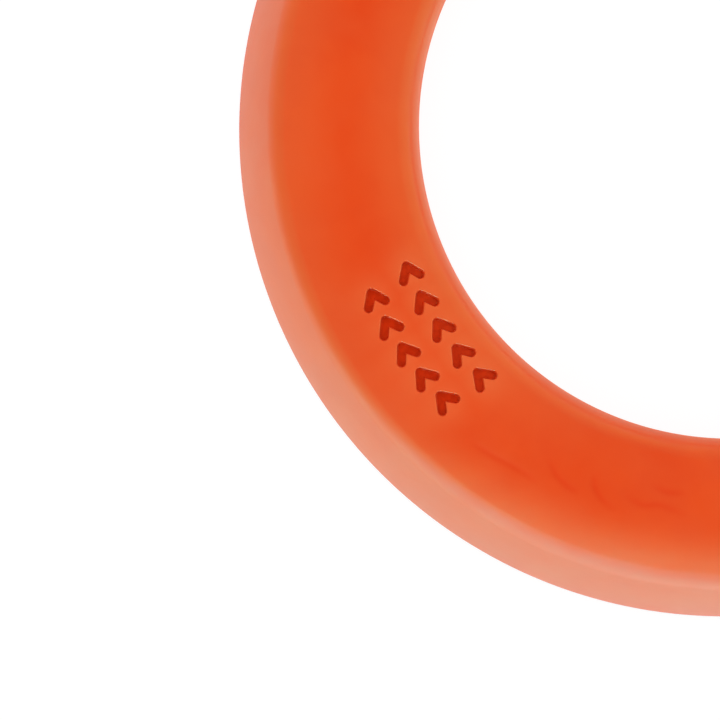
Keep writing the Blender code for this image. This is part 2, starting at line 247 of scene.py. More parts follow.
def grid_ring(name, section, angles, shift, attributes=None):
    """A closed ring swept from a closed section over angles, one full turn without the last.

    shift(r, z, angle) gives the r and z to use, and attributes maps a name to f(r, z, angle).
    """
    section_r, section_z = np.array(section, float).T
    turn, r0, z0 = np.broadcast_arrays(angles[:, None], section_r, section_z)
    r, z = shift(r0, z0, turn)
    points = (np.stack([r * np.cos(turn), r * np.sin(turn), z], -1) * MM).reshape(-1, 3)
    columns, rows = r.shape
    i, j = np.meshgrid(np.arange(columns), np.arange(rows), indexing="ij")
    quads = grid_quads(i, j, columns, rows)
    # Faces point out when the ring's signed volume is positive.
    triangles = np.concatenate([quads[:, [0, 1, 2]], quads[:, [0, 2, 3]]])
    a, b, c = (points[triangles[:, k]] for k in range(3))
    if np.einsum("ij,ij->i", a, np.cross(b, c)).sum() < 0:
        quads = quads[:, ::-1]
    mesh = bpy.data.meshes.new(name)
    mesh.vertices.add(len(points))
    mesh.vertices.foreach_set("co", points.astype(np.float32).ravel())
    mesh.loops.add(quads.size)
    mesh.loops.foreach_set("vertex_index", quads.astype(np.int32).ravel())
    mesh.polygons.add(len(quads))
    mesh.polygons.foreach_set("loop_start", np.arange(0, quads.size, 4, dtype=np.int32))
    mesh.update(calc_edges=True)
    mesh.validate()
    for key, function in (attributes or {}).items():
        layer = mesh.attributes.new(key, "FLOAT", "POINT")
        layer.data.foreach_set("value", function(r0, z0, turn).astype(np.float32).ravel())
    return add_object(name, mesh)


class Sweep:
    """A section swept round the axis, with flat blocks of its grid opened for pegs and holes."""

    def __init__(self, section, angles):
        self.section, self.angles = np.array(section, float), angles
        self.columns, self.rows = len(angles), len(section)
        r, z = self.section.T
        turn, r, z = np.broadcast_arrays(angles[:, None], r, z)
        points = np.stack([np.cos(turn) * r, np.sin(turn) * r, z], -1)
        self.points = [tuple(p) for p in points.reshape(-1, 3)]
        self.keep = np.ones((self.columns, self.rows), bool)
        self.faces = []

    def row(self, r, z):
        """Index of the section's point at (r, z)."""
        return int(np.argmin(np.hypot(self.section[:, 0] - r, self.section[:, 1] - z)))

    def block(self, mid, half, span, z):
        """Opens the flat cells within half columns of column mid, between the two radii of span.

        Gives the point numbers round the opening, ordered by direction from its middle.
        """
        first, last = sorted(self.row(r, z) for r in span)
        columns = [(mid + k) % self.columns for k in range(-half, half + 1)]
        middle_r = (span[0] + span[1]) / 2
        for i in columns[:-1]:
            self.keep[i, first:last] = False
        loop = []
        for k, i in enumerate(columns):
            for j in range(first, last + 1):
                if k in (0, 2 * half) or j in (first, last):
                    along = (k - half) * (self.angles[1] - self.angles[0]) * middle_r
                    across = self.section[j, 0] - middle_r
                    loop.append((math.atan2(across, along), i * self.rows + j))
        return [index for _, index in sorted(loop)]

    def add(self, points):
        start = len(self.points)
        self.points += [tuple(p) for p in points]
        return list(range(start, len(self.points)))

    def join(self, a, b):
        n = len(a)
        self.faces += [(a[i], a[(i + 1) % n], b[(i + 1) % n], b[i]) for i in range(n)]
        return b

    def grow(self, loop, outline, steps):
        """Joins loop after loop. Each step is how much to widen the outline, and the height."""
        for wide, z in steps:
            ring = [(*outline(self.points[i], wide), z) for i in loop]
            loop = self.join(loop, self.add(ring))
        return loop

    def cap(self, loop, centre):
        middle = self.add([centre])[0]
        n = len(loop)
        self.faces += [(loop[i], loop[(i + 1) % n], middle) for i in range(n)]

    def build(self, name):
        i, j = np.nonzero(self.keep)
        faces = grid_quads(i, j, self.columns, self.rows).tolist() + self.faces
        used = np.zeros(len(self.points), bool)
        for face in faces:
            used[list(face)] = True
        number = np.cumsum(used) - 1
        points = np.array(self.points)[used] * MM
        mesh = bpy.data.meshes.new(name)
        mesh.from_pydata(points.tolist(), [], [[int(number[k]) for k in f] for f in faces])
        bm = bmesh.new()
        bm.from_mesh(mesh)
        bmesh.ops.recalc_face_normals(bm, faces=bm.faces[:])
        if bm.calc_volume(signed=True) < 0:
            bmesh.ops.reverse_faces(bm, faces=bm.faces[:])
        bm.to_mesh(mesh)
        bm.free()
        return add_object(name, mesh)


def circle_outline(centre, radius):
    """Nearest point, to any point, on a circle in plan, widened by an amount."""

    def nearest(point, wide):
        dx, dy = point[0] - centre[0], point[1] - centre[1]
        distance = math.hypot(dx, dy)
        scale = radius + wide
        return centre[0] + dx / distance * scale, centre[1] + dy / distance * scale

    return nearest


def slot_outline(mid, pitch, radius, half):
    """Nearest point on a curved slot in plan, with round ends, widened by an amount."""

    def nearest(point, wide):
        angle = math.atan2(point[1], point[0]) - mid
        angle = (angle + math.pi) % (2 * math.pi) - math.pi
        along, across = angle * pitch, math.hypot(point[0], point[1]) - pitch
        spine = max(-half * pitch, min(half * pitch, along))
        distance = math.hypot(along - spine, across)
        along = spine + (along - spine) / distance * (radius + wide)
        across = across / distance * (radius + wide)
        turn = mid + along / pitch
        return (pitch + across) * math.cos(turn), (pitch + across) * math.sin(turn)

    return nearest


QUARTER = [rad(d) for d in (0, 30, 60, 90)]


def flare(radius, z, up):
    """Steps of a quarter round from a flat face at z into an upright wall. up is 1 or -1."""
    return [(radius * (1 - math.sin(t)), z + up * radius * (1 - math.cos(t))) for t in QUARTER]


def dress(obj, material, sharp_deg, replaces):
    obj.data.shade_smooth()
    obj.data.set_sharp_from_angle(angle=rad(sharp_deg))
    obj.data.materials.append(material)
    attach(obj, "root")
    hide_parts(replaces)


# ---------------------------------------------------------------- node helpers
class Nodes:
    """Short names for building a node tree. Any value may be a number or a socket."""

    padding = ()  # values for the inputs a math node is not given

    def __init__(self, tree):
        self.tree = tree
        tree.nodes.clear()

    def node(self, kind, **settings):
        node = self.tree.nodes.new(kind)
        for key, value in settings.items():
            setattr(node, key, value)
        return node

    def link(self, source, target):
        self.tree.links.new(source, target)

    def put(self, socket, value):
        if isinstance(value, bpy.types.NodeSocket):
            self.link(value, socket)
        elif isinstance(value, tuple) and len(value) == 3 and socket.type == "RGBA":
            socket.default_value = (*value, 1.0)
        else:
            socket.default_value = value

    def math(self, operation, *values):
        node = self.node("ShaderNodeMath", operation=operation)
        for socket, value in zip(node.inputs, values + self.padding[len(values) :]):
            self.put(socket, value)
        return node.outputs[0]

    def add(self, a, b):
        return self.math("ADD", a, b)

    def minus(self, a, b):
        return self.math("SUBTRACT", a, b)

    def times(self, a, b):
        return self.math("MULTIPLY", a, b)

    def times_add(self, a, by, plus):
        return self.math("MULTIPLY_ADD", a, by, plus)

    def largest(self, a, b):
        return self.math("MAXIMUM", a, b)

    def squared(self, a):
        return self.math("POWER", a, 2.0)

    def split(self, vector):
        node = self.node("ShaderNodeSeparateXYZ")
        self.link(vector, node.inputs[0])
        return node.outputs

    def ramp(self, value, span, out=(0.0, 1.0), kind="LINEAR"):
        """Takes value from span to out, and holds it level beyond the ends."""
        node = self.node("ShaderNodeMapRange", interpolation_type=kind)
        self.put(node.inputs["Value"], value)
        for key, number in zip(("From Min", "From Max", "To Min", "To Max"), (*span, *out)):
            node.inputs[key].default_value = number
        return node.outputs[0]

    def step(self, value, span, out=(0.0, 1.0)):
        """A ramp with eased ends."""
        return self.ramp(value, span, out, "SMOOTHSTEP")


class Material(Nodes):
    padding = (0.0, 0.0, 0.0)

    def __init__(self, name):
        self.mat = bpy.data.materials.new(name)
        self.mat.use_nodes = True
        super().__init__(self.mat.node_tree)
        self.out = self.node("ShaderNodeOutputMaterial")
        self.shader = self.node("ShaderNodeBsdfPrincipled")
        self.link(self.shader.outputs[0], self.out.inputs[0])
        self.coord = self.node("ShaderNodeTexCoord").outputs["Object"]

    def texture(self, kind, vector=None, **settings):
        node = self.node(kind)
        self.link(vector or self.coord, node.inputs["Vector"])
        for key, value in settings.items():
            node.inputs[key].default_value = value
        return node

    def noise(self, scale, detail=2.0, roughness=0.5, distortion=0.0, vector=None):
        settings = dict(Scale=scale, Detail=detail, Roughness=roughness, Distortion=distortion)
        return self.texture("ShaderNodeTexNoise", vector, **settings).outputs["Fac"]

    def mix(self, amount, a, b):
        node = self.node("ShaderNodeMix", data_type="RGBA", blend_type="MIX")
        for index, value in ((0, amount), (6, a), (7, b)):
            self.put(node.inputs[index], value)
        return node.outputs[2]

    def attribute(self, name):
        return self.node("ShaderNodeAttribute", attribute_name=name).outputs["Fac"]

    def geometry(self, output):
        return self.node("ShaderNodeNewGeometry").outputs[output]

    def plan_radius(self, x, y):
        return self.math("SQRT", self.add(self.squared(x), self.squared(y)))

    def bump(self, height, distance, strength, after=None):
        node = self.node("ShaderNodeBump")
        self.put(node.inputs["Height"], height)
        node.inputs["Distance"].default_value = distance
        node.inputs["Strength"].default_value = strength
        if after is not None:
            self.link(after, node.inputs["Normal"])
        return node.outputs[0]

    def set(self, **inputs):
        for key, value in inputs.items():
            self.put(self.shader.inputs[key.replace("_", " ")], value)


# ---------------------------------------------------------------- silicone
def silicone(
    name, deep=(0.76, 0.040, 0.0015), pale=(0.79, 0.052, 0.0032), grain_depth=0.00001, marked=False
):
    """Satin moulded silicone: translucent, slightly mottled, with a fine matte grain.

    marked colours the chevrons and the flow marks from the mesh's attributes, with painted shade on
    the recesses' floor and in the flow marks.
    """
    g = Material(name)
    # Mottling: broad clouds with smaller blotches
    cloud = g.noise(scale=38.0, detail=3.0, roughness=0.55, distortion=0.6)
    blotch = g.noise(scale=140.0, distortion=0.3)
    tone = g.add(g.times(cloud, 0.75), g.times(blotch, 0.25))
    colour = g.mix(g.step(tone, span=(0.36, 0.66)), deep, pale)
    # Pigment specks, barely there
    speck = g.step(g.noise(scale=2600.0, detail=1.0), span=(0.70, 0.78))
    colour = g.mix(g.times(speck, 0.10), colour, (0.55, 0.03, 0.006))
    if marked:
        # Paler round the chevrons, deeper in the flow marks, and darkest on the recesses' floor,
        # where the dark red is painted shade
        halo = g.attribute("halo")
        colour = g.mix(g.times(halo, 0.62), colour, (0.80, 0.105, 0.026))
        # Painted shade: the flow marks are darker along their shallow dents.
        colour = g.mix(g.times(g.attribute("flow"), 0.42), colour, (0.70, 0.020, 0.0006))
        recess = g.attribute("recess")
        mottle = g.step(g.noise(scale=900.0), span=(0.35, 0.65))
        recess_shade_colour = g.mix(mottle, (0.53, 0.020, 0.0008), (0.61, 0.027, 0.0014))
        colour = g.mix(recess, colour, recess_shade_colour)
    # Relief: a broad swell, then ripples, then the grain
    grain = g.noise(scale=5200.0, roughness=0.6)
    ripple = g.noise(scale=420.0)
    swell = g.noise(scale=75.0, detail=1.0)
    normal = g.bump(swell, distance=0.00025, strength=0.35)
    normal = g.bump(ripple, distance=0.00003, strength=0.6, after=normal)
    normal = g.bump(grain, distance=grain_depth, strength=0.8, after=normal)
    smear = g.noise(scale=60.0, detail=3.0, roughness=0.6, distortion=1.2)
    roughness = g.step(smear, span=(0.3, 0.7), out=(0.29, 0.35))
    # The satin surface shines less than a polished one at glancing angles, and near the floor.
    geometry = g.node("ShaderNodeNewGeometry")
    facing = g.node("ShaderNodeVectorMath", operation="DOT_PRODUCT")
    g.link(geometry.outputs["Normal"], facing.inputs[0])
    g.link(geometry.outputs["Incoming"], facing.inputs[1])
    level = g.step(facing.outputs["Value"], span=(0.18, 0.42), out=(0.06, 0.5))
    height = g.split(geometry.outputs["Position"])[2]
    level = g.times(level, g.step(height, span=(0.0004, 0.0026), out=(0.35, 1.0)))
    if marked:
        # Less shine in the recesses, and a little less in the flow marks, which deepens their
        # painted shade.
        dull_share = g.largest(g.attribute("recess"), g.times(g.attribute("flow"), 0.25))
        level = g.times(level, g.times_add(dull_share, by=-0.8, plus=1.0))
    g.set(
        Base_Color=colour,
        Roughness=roughness,
        IOR=1.75,
        Specular_Tint=(0.14, 1.0, 0.46, 1.0),
        Specular_IOR_Level=level,
        Subsurface_Weight=0.10,
        Subsurface_Radius=(1.0, 0.25, 0.12),
        Subsurface_Scale=0.0022,
        Sheen_Weight=0.015,
        Sheen_Roughness=0.42,
        Sheen_Tint=(1.0, 0.93, 0.86),
        Normal=normal,
    )
    return g.mat


# ---------------------------------------------------------------- top skin
CHEVRON_PLACES = [
    (radius, rad(CHEVRON_MID_DEG + (i - (CHEVRON_COUNT - 1) / 2) * pitch))
    for radius, pitch in CHEVRON_ROWS
    for i in range(CHEVRON_COUNT)
]


def chevron_distance(r, angle):
    """Distance to the nearest chevron's outline, negative inside it, for points on the crown."""
    best = np.full(r.shape, 99.0)
    x, y = r * np.cos(angle), r * np.sin(angle)
    for radius, turn in CHEVRON_PLACES:
        dx, dy = x - radius * math.cos(turn), y - radius * math.sin(turn)
        slope = math.asin((radius - CROWN_CENTRE[0]) / CROWN_R)
        clockwise = dx * math.sin(turn) - dy * math.cos(turn)
        outward = (dx * math.cos(turn) + dy * math.sin(turn)) / math.cos(slope)
        near = (np.abs(clockwise) < 6) & (np.abs(outward) < 6)
        # One arm, from the tip to its end; the other is its mirror image.
        u, v = clockwise[near] - CHEVRON_HALF_L, np.abs(outward[near])
        arm_u, arm_v = -2 * CHEVRON_HALF_L, CHEVRON_HALF_W
        t = np.clip((u * arm_u + v * arm_v) / (arm_u * arm_u + arm_v * arm_v), 0, 1)
        distance = np.hypot(u - t * arm_u, v - t * arm_v) - CHEVRON_STROKE / 2
        best[near] = np.minimum(best[near], distance)
    return best


def recess_share(r, z, angle):
    """Depth of the chevrons' recess, 0 to 1, which also weights the painted shade on its floor."""
    distance = chevron_distance(r, angle)
    t = np.clip((RECESS_OUT - distance) / (RECESS_OUT + RECESS_IN), 0, 1)
    on_top = z > CROWN_OUT[1] - 0.05
    return np.where(on_top, t * t * (3 - 2 * t), 0.0)


def halo_share(r, z, angle):
    """Strength, 0 to 1, of the paler patch round each chevron."""
    x, y = r * np.cos(angle), r * np.sin(angle)
    share = np.zeros(r.shape)
    for radius, turn in CHEVRON_PLACES:
        away = np.hypot(x - radius * math.cos(turn), y - radius * math.sin(turn))
        share = np.maximum(share, np.exp(-((away / 4.3) ** 2)))
    return np.clip(share * 1.15, 0, 1) * np.where(z > 9.0, 1.0, 0.0)


# Knots of the flow marks: direction in degrees, radius
FLOW = (
    ((230.6, 74.3), (233.6, 74.1), (237.2, 73.5), (240.6, 73.6)),
    ((241.2, 69.3), (242.8, 70.9), (245.2, 71.9), (246.8, 72.0)),
    ((248.2, 68.4), (248.7, 70.0), (250.2, 71.6), (252.6, 72.7)),
    ((253.6, 69.8), (256.2, 70.6), (258.8, 70.0), (262.4, 70.9)),
    ((257.4, 66.9), (259.6, 67.5), (262.0, 67.1)),
)
FLOW_DEPTH, FLOW_WIDTH = 0.04, 0.62
FLOW_START_DEG, FLOW_END_DEG = 228, 265
FLOW_MM_PER_DEG = 1.19  # length of a degree, taken as the same at every radius


def curve_through(knots, t):
    """Points of a smooth curve through the knots; t counts knots from the first."""
    i = np.minimum(t.astype(int), len(knots) - 2)
    f = (t - i)[:, None]
    before, start = knots[np.maximum(i - 1, 0)], knots[i]
    end, after = knots[i + 1], knots[np.minimum(i + 2, len(knots) - 1)]
    return 0.5 * (
        2 * start
        + (end - before) * f
        + (2 * before - 5 * start + 4 * end - after) * f**2
        + (3 * start - before - 3 * end + after) * f**3
    )


def flow_share(r, z, angle):
    """Strength, 0 to 1, of the faint marks the liquid rubber left where two streams met: shallow
    dents, darkened with painted shade.
    """
    turn = angle % (2 * math.pi)
    near = (turn > rad(FLOW_START_DEG)) & (turn < rad(FLOW_END_DEG))
    near &= (r > 64) & (r < 76.5) & (z > 9)
    along, radius = np.degrees(turn[near]) * FLOW_MM_PER_DEG, r[near]
    total = np.zeros(along.shape)
    for stroke in FLOW:
        knots = np.array(stroke) * (FLOW_MM_PER_DEG, 1.0)
        t = np.linspace(0, len(knots) - 1, 46)
        curve = curve_through(knots, t)
        fade = np.sin(np.pi * (0.06 + 0.88 * t / t[-1]))
        squared = (along[:, None] - curve[:, 0]) ** 2 + (radius[:, None] - curve[:, 1]) ** 2
        total = np.maximum(total, (np.exp(-squared / FLOW_WIDTH**2) * fade).max(1))
    share = np.zeros(r.shape)
    share[near] = total
    return share


def top_section():
    """The skin's section: up the flank, over the crown, down the inside, and round the hollow."""
    foot = arc(FOOT_CENTRE, FOOT_R, 180, FLANK_LOW_DEG, 26)
    outside = parting(foot, (OUTER_R, FOOT_Z), depth=0.05)[:-1]
    outside += arc(FLANK_CENTRE, FLANK_R, FLANK_LOW_DEG, FLANK_HIGH_DEG, 14)[:-1]
    outside += arc(SHOULDER_CENTRE, SHOULDER_R, FLANK_HIGH_DEG, CROWN_DEG, 22)[:-1]
    # The rows are close together where the chevrons are.
    fine_out, fine_in = CHEVRON_ROWS[0][0] + 3.3, CHEVRON_ROWS[1][0] - 3.3
    fine_rows = int((fine_out - fine_in) / CHEVRON_CELL) + 1
    stops = np.concatenate(
        [
            np.linspace(CROWN_OUT[0], fine_out, 10)[:-1],
            np.linspace(fine_out, fine_in, fine_rows)[:-1],
            np.linspace(fine_in, CROWN_IN[0], 3),
        ]
    )
    centre_r, centre_z = CROWN_CENTRE
    outside += [(r, centre_z + math.sqrt(CROWN_R**2 - (r - centre_r) ** 2)) for r in stops]
    roll = arc(ROLL_CENTRE, INNER_ROLL_R, -CROWN_DEG, -(90 + INNER_DRAFT_DEG), 44)
    outside += parting(roll, (INNER_R, ROLL_CENTRE[1]), depth=0.045)[1:]
    draft = rad(INNER_DRAFT_DEG)
    low_z = FOOT_Z - FOOT_R * math.sin(draft)
    low = (roll[-1][0] + (roll[-1][1] - low_z) * math.tan(draft), low_z)
    outside += line(roll[-1], low, 8)[1:]
    inner_foot = (low[0] + FOOT_R * math.cos(draft), FOOT_Z)
    outside += arc(inner_foot, FOOT_R, -(90 + INNER_DRAFT_DEG), -180, 10)

    groove_half = BEAD_H / 2 + GAP
    roof = roof_arc(WALL, SEAT_IN_R + 1.0, back=1.0, steps=10)
    flank_z = roof[-1][1] - 1.6
    hollow = [
        (SEAT_IN_R - SEAM_V, RIM_Z),
        (SEAT_IN_R, RIM_Z + SEAM_V),
        *bead(SEAT_IN_R, -1, groove_half),
        (SEAT_IN_R, roof[0][1] - 1.0),
        *roof,
        (slope_r(flank_z, WALL), flank_z),
        (slope_r(LEDGE_Z, WALL), LEDGE_Z),
        (SEAT_OUT_R, LEDGE_Z),
        *reversed(bead(SEAT_OUT_R, 1, groove_half)),
        (SEAT_OUT_R, RIM_Z + SEAM_V),
        (SEAT_OUT_R + SEAM_V, RIM_Z),
    ]
    # Rounds only on the hollow's own corners: the outer surface is round already.
    radii = [0.0] * len(outside) + [0.15] + [0.12] * (len(hollow) - 2) + [0.15]
    return rounded(outside + hollow, radii, steps=3, support=0.1)


def top_angles():
    """Columns round the ring, close together at the chevrons and fairly close at the marks."""
    half = rad((CHEVRON_COUNT - 1) / 2 * CHEVRON_ROWS[1][1] + 3.2)
    mid = rad(CHEVRON_MID_DEG)
    fine = np.linspace(mid - half, mid + half, int(2 * half * 68 / CHEVRON_CELL))
    flow = np.linspace(mid + half, rad(FLOW_END_DEG), 160)[1:]
    end = mid - half + 2 * math.pi
    after = np.linspace(flow[-1], end, int((end - flow[-1]) / rad(0.9)) + 2)[1:-1]
    return np.concatenate([fine, flow, after])


def sink(r, z, angle):
    """Presses the chevrons and the flow marks into the crown, along its normal."""
    depth = recess_share(r, z, angle) * CHEVRON_DEPTH + flow_share(r, z, angle) * FLOW_DEPTH
    normal_r = (r - CROWN_CENTRE[0]) / CROWN_R
    normal_z = np.sqrt(np.clip(1 - normal_r**2, 0, 1))
    return r - normal_r * depth, z - normal_z * depth


skin_top = grid_ring(
    "skin_top",
    top_section(),
    top_angles(),
    sink,
    {"recess": recess_share, "halo": halo_share, "flow": flow_share},
)
dress(skin_top, silicone("silicone_orange", marked=True), 50, "top_shell")


# ---------------------------------------------------------------- base, with its ribs and pegs
# Flat bands, between two radii, that are opened round the pegs and the slots, and their cells
PEG_BLOCK, PEG_CELLS = (68.3, 72.7), 8
SLOT_BLOCK, SLOT_CELLS = (76.75, 79.55), 5
PEG_HALF_COLUMNS, SLOT_HALF_COLUMNS = 4, 26
COLUMNS = 720
ROUND = rad(PEG_DEG) + even(COLUMNS)  # columns that fall on the pegs and the slots
PEG_STEP = COLUMNS // PEGS
PEG_COLUMNS = range(0, COLUMNS, PEG_STEP)
SLOT_COLUMNS = range(PEG_STEP // 2, COLUMNS, PEG_STEP)


def peg_centre(column):
    return PEG_PITCH_R * math.cos(ROUND[column]), PEG_PITCH_R * math.sin(ROUND[column])


def base_section():
    inner, outer = SEAT_IN_R + GAP, SEAT_OUT_R - GAP
    outside = [
        (inner + SEAM_V, 0.0),
        (outer - SEAM_V, 0.0),
        (outer, SEAM_V),
        *bead(outer, 1, BEAD_H / 2),
        (outer, RIB_TOP - 0.4),
        (outer - 0.4, RIB_TOP),
        (outer - RIB_T, RIB_TOP),
        (outer - RIB_T, BASE_T + 0.5),
        (outer - RIB_T - 0.5, BASE_T),
    ]
    plate = [(r, BASE_T) for r in [78.0, 75.0, *reversed(spread(PEG_BLOCK, PEG_CELLS)), 66.6]]
    inside = [
        (inner + RIB_T + 0.5, BASE_T),
        (inner + RIB_T, BASE_T + 0.5),
        (inner + RIB_T, RIB_TOP),
        (inner + 0.4, RIB_TOP),
        (inner, RIB_TOP - 0.4),
        *reversed(bead(inner, -1, BEAD_H / 2)),
        (inner, SEAM_V),
    ]
    return rounded(outside + plate + inside, 0.15, steps=3, support=0.12)


def make_base():
    sweep = Sweep(base_section(), ROUND)
    # A fillet at the foot, a rounded edge at the top, and rings across the flat end
    steps = [(0.55, BASE_T)] + flare(PEG_FILLET_R, BASE_T, up=1)
    for t in QUARTER:
        wide, rise = PEG_ROUND_R * math.cos(t), PEG_ROUND_R * math.sin(t)
        steps.append((wide - PEG_ROUND_R, PEG_TOP - PEG_ROUND_R + rise))
    steps += [(-0.6, PEG_TOP), (-1.1, PEG_TOP)]
    for column in PEG_COLUMNS:
        centre = peg_centre(column)
        loop = sweep.block(column, PEG_HALF_COLUMNS, PEG_BLOCK, BASE_T)
        loop = sweep.grow(loop, circle_outline(centre, PEG_R), steps)
        sweep.cap(loop, (*centre, PEG_TOP))
    return sweep.build("skin_base")


base_material = silicone("silicone_orange_base", grain_depth=0.000016)
dress(make_base(), base_material, 33, "base_shell")


# ---------------------------------------------------------------- the cords in the seams
def cord(name, seat_r, side, joint_deg):
    """A cord that fills the seam's groove: flat where it beds, softly bowed below, where it shows.

    side is 1 at the outer seam and -1 at the inner one. joint_deg is where its ends butt.
    """
    mid = seat_r - side * (GAP - RIM_Z) / 2
    bottom, top = SEAL_Z
    half = SEAM_V + (GAP + RIM_Z) / 2 - GAP * math.sqrt(2)  # half the groove's width at z = 0
    outline = [
        (mid + (half - bottom), bottom),
        (mid + (half - top), top),
        (mid - (half - top), top),
        (mid - (half - bottom), bottom),
    ]
    across = np.linspace(-1, 1, 13)[1:-1]
    bow = [(mid + (half - bottom) * t, bottom - 0.10 * (1 - t * t)) for t in across]
    radii = [0.06, 0.1, 0.1, 0.06] + [0.0] * len(bow)
    section = rounded(outline + bow, radii, steps=3, support=0.04)
    joint = rad(joint_deg)
    near = joint + np.linspace(-0.35, 0.35, 41) / seat_r
    angles = np.concatenate([near, joint + np.linspace(0, 2 * math.pi, 721)[1:-1]])
    middle = (bottom + top) / 2

    def shift(r, z, angle):
        """Nicks the cord at its joint and lets its line wander a little."""
        away = (angle - joint + math.pi) % (2 * math.pi) - math.pi
        nick = np.exp(-((away * seat_r / 0.07) ** 2)) * 0.05
        wander = 0.012 * np.sin(angle * 23 + side) + 0.008 * np.sin(angle * 57)
        dr, dz = r - mid, z - middle
        size = np.hypot(dr, dz)
        new_z = z - dz / size * nick + np.where(z < middle, wander, 0) * 0.5
        return r - dr / size * nick + wander * 0.5, new_z

    return grid_ring(name, section, angles, shift)


cord_material = silicone(
    "silicone_cord_orange",
    deep=(0.66, 0.042, 0.0035),
    pale=(0.72, 0.052, 0.005),
    grain_depth=0.000005,
)
for place, seat_r, side, joint_deg in (
    ("outer", SEAT_OUT_R, 1, 305.0),
    ("inner", SEAT_IN_R, -1, 125.0),
):
    piece = cord(f"cord_{place}", seat_r, side, joint_deg)
    dress(piece, cord_material, 40, f"{place}_seam_seal")


# ---------------------------------------------------------------- the nylon hoop
def hoop_section():
    """A flat web with an upright rib on it."""
    bottom, top = HOOP_Z0, HOOP_Z1
    peg_band, slot_band = spread(PEG_BLOCK, PEG_CELLS), spread(SLOT_BLOCK, SLOT_CELLS)
    # r, z, radius of the corner
    corners = [
        (HOOP_IN_R, bottom, 0.35),
        *((r, bottom, 0.0) for r in [*peg_band, 74.6, *slot_band]),
        (HOOP_OUT_R, bottom, 0.35),
        (HOOP_OUT_R, top, 0.35),
        *((r, top, 0.0) for r in reversed(slot_band)),
        (HOOP_RIB_OUT_R, top, 0.4),
        (HOOP_RIB_OUT_R, HOOP_RIB_Z, 0.4),
        (HOOP_RIB_IN_R, HOOP_RIB_Z, 0.4),
        (HOOP_RIB_IN_R, top, 0.4),
        *((r, top, 0.0) for r in reversed(peg_band)),
        (HOOP_IN_R, top, 0.35),
    ]
    points = [(r, z) for r, z, _ in corners]
    return rounded(points, [radius for _, _, radius in corners], steps=4, support=0.1)


def nylon():
    """Natural moulded nylon: slightly translucent ivory, streaked, with an eggshell surface."""
    g = Material("nylon_natural")
    x, y, z = g.split(g.coord)
    turn = g.math("ARCTAN2", y, x)
    radius = g.plan_radius(x, y)
    # Squeezing the turn draws the noise out into streaks round the hoop.
    along = g.node("ShaderNodeCombineXYZ")
    g.put(along.inputs[0], g.times(turn, 0.011))
    g.put(along.inputs[1], radius)
    g.put(along.inputs[2], z)
    streak = g.noise(
        scale=900.0, detail=3.0, roughness=0.6, distortion=0.4, vector=along.outputs[0]
    )
    cloud = g.noise(scale=60.0)
    streaked = g.step(streak, span=(0.35, 0.70))
    colour = g.mix(streaked, (0.60, 0.575, 0.48), (0.70, 0.68, 0.60))
    clouded = g.times(g.step(cloud, span=(0.4, 0.75)), 0.35)
    colour = g.mix(clouded, colour, (0.56, 0.51, 0.38))
    normal = g.bump(g.noise(scale=1500.0), distance=0.000015, strength=0.5)
    normal = g.bump(streak, distance=0.00002, strength=0.5, after=normal)
    g.set(
        Base_Color=colour,
        Roughness=g.step(g.noise(scale=300.0), span=(0.3, 0.7), out=(0.42, 0.56)),
        IOR=1.53,
        Subsurface_Weight=0.15,
        Subsurface_Radius=(1.0, 0.8, 0.5),
        Subsurface_Scale=0.0015,
        Normal=normal,
    )
    return g.mat


def cut_through(sweep, column, half, span, outline):
    """A hole from the top of the hoop's web to its bottom, with both lips rounded."""
    ends = []
    for z, up in ((HOOP_Z1, -1), (HOOP_Z0, 1)):
        loop = sweep.block(column, half, span, z)
        steps = [(HOLE_LIP_R + 0.12, z)] + flare(HOLE_LIP_R, z, up)
        ends.append(sweep.grow(loop, outline, steps))
    sweep.join(*ends)


def make_hoop():
    sweep = Sweep(hoop_section(), ROUND)
    for column in PEG_COLUMNS:
        outline = circle_outline(peg_centre(column), PEG_R + GAP)
        cut_through(sweep, column, PEG_HALF_COLUMNS, PEG_BLOCK, outline)
    for column in SLOT_COLUMNS:
        outline = slot_outline(ROUND[column], SLOT_PITCH_R, SLOT_R, rad(SLOT_DEG / 2))
        cut_through(sweep, column, SLOT_HALF_COLUMNS, SLOT_BLOCK, outline)
    return sweep.build("hoop")


dress(make_hoop(), nylon(), 33, "spine_hoop")


# ---------------------------------------------------------------- the foam core
def foam_section():
    """Fills the hollow, with a clearance round the base's ribs, the hoop and its rib."""
    inner = SEAT_IN_R + GAP + RIB_T + GAP + 0.2
    outer = SEAT_OUT_R - GAP - RIB_T - GAP - 0.2
    bottom = BASE_T + GAP + 0.2
    roof = roof_arc(WALL + GAP, SEAT_IN_R + GAP + 1.2, back=1.2, steps=24)
    flank_z = roof[-1][1] - 1.9
    low = LEDGE_Z + 0.1
    outline = [
        (inner, bottom),
        (HOOP_IN_R - GAP, bottom),
        (HOOP_IN_R - GAP, HOOP_Z1 + GAP),
        (HOOP_RIB_IN_R - GAP, HOOP_Z1 + GAP),
        (HOOP_RIB_IN_R - GAP, HOOP_RIB_Z + GAP),
        (HOOP_RIB_OUT_R + GAP, HOOP_RIB_Z + GAP),
        (HOOP_RIB_OUT_R + GAP, HOOP_Z1 + GAP),
        (HOOP_OUT_R + GAP, HOOP_Z1 + GAP),
        (HOOP_OUT_R + GAP, bottom),
        (outer, bottom),
        (outer, low),
        (slope_r(low + 0.2, WALL + GAP) - 0.1, low),
        (slope_r(flank_z, WALL + GAP), flank_z),
        *reversed(roof),
        (SEAT_IN_R + GAP, roof[0][1] - 1.3),
        (SEAT_IN_R + GAP, low),
        (inner, low),
    ]
    outline = rounded(outline, 0.22, steps=4, support=0.15)
    # Even runs of about half a millimetre, so that the cut surface can undulate
    points = []
    for start, end in zip(outline, outline[1:] + outline[:1]):
        points += line(start, end, max(1, int(math.dist(start, end) / 0.55)))
    return points


